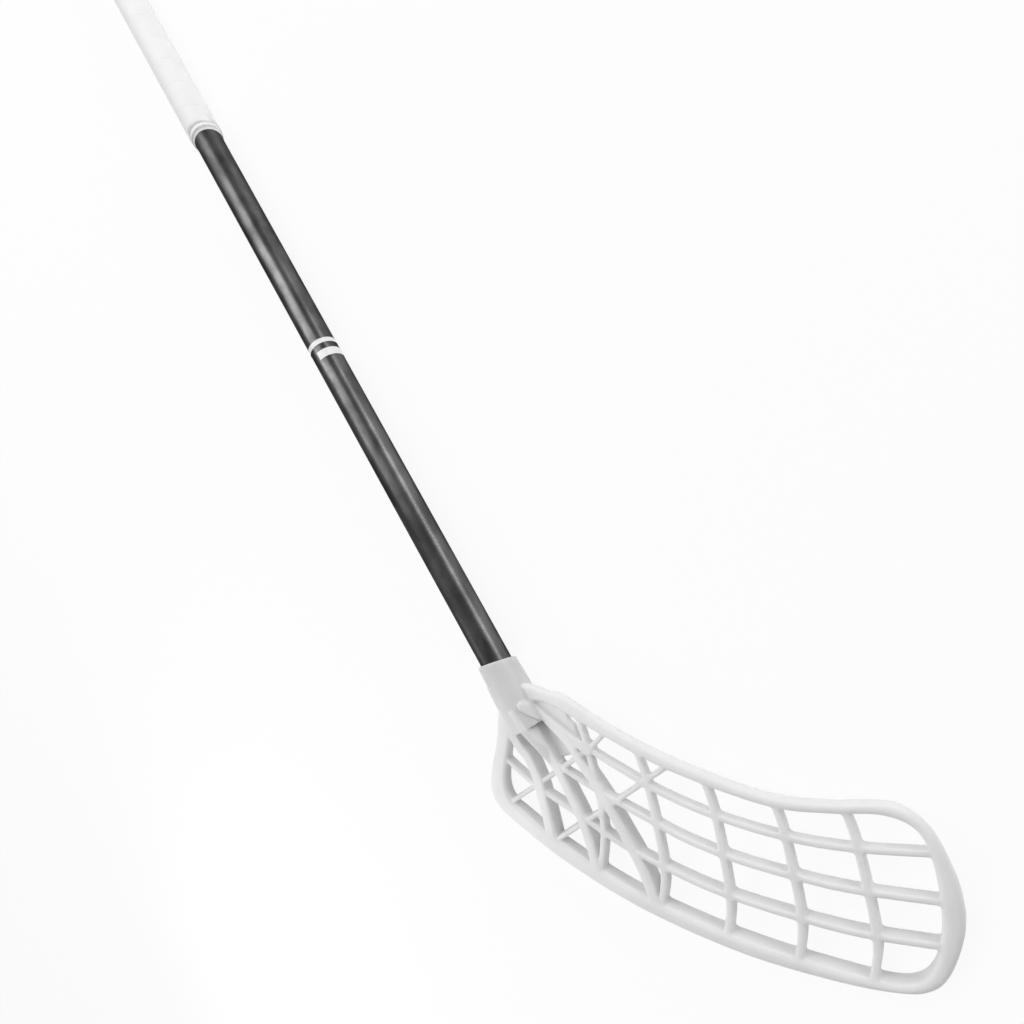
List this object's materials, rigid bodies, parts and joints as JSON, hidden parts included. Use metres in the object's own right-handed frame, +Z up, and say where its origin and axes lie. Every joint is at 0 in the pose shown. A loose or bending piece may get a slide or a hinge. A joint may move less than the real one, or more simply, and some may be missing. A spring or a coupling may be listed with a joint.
{
  "type": "floorball stick",
  "caption": "Floorball stick lying flat: tapered tube shaft with a wound cushioned grip, and an open lattice blade on a socket, hooked to one side.",
  "frame": {"origin": "middle of the box round the stick, on the floor it lies on", "axes": "+X along the shaft towards the butt end, +Y across towards the heel side, +Z up from the floor"},
  "size_m": [1.165, 0.2488, 0.0296],
  "materials": {
    "shaft_composite": "dark fibre composite under satin lacquer",
    "grip_tape": "soft matt cushion tape",
    "finishing_tape": "matt tape",
    "cap_plastic": "matt moulded plastic",
    "white_print": "printed film",
    "blade_plastic": "milky translucent moulding",
    "screw_steel": "plain steel"
  },
  "bodies": {
    "root": {"shaft_tube": "shaft_composite", "grip_wrap": "grip_tape", "grip_end_tape": "finishing_tape", "butt_cap": "cap_plastic", "ring_stripe": "white_print", "label_patch": "white_print", "blade": "blade_plastic", "blade_screw": "screw_steel"}
  },
  "joints": []
}
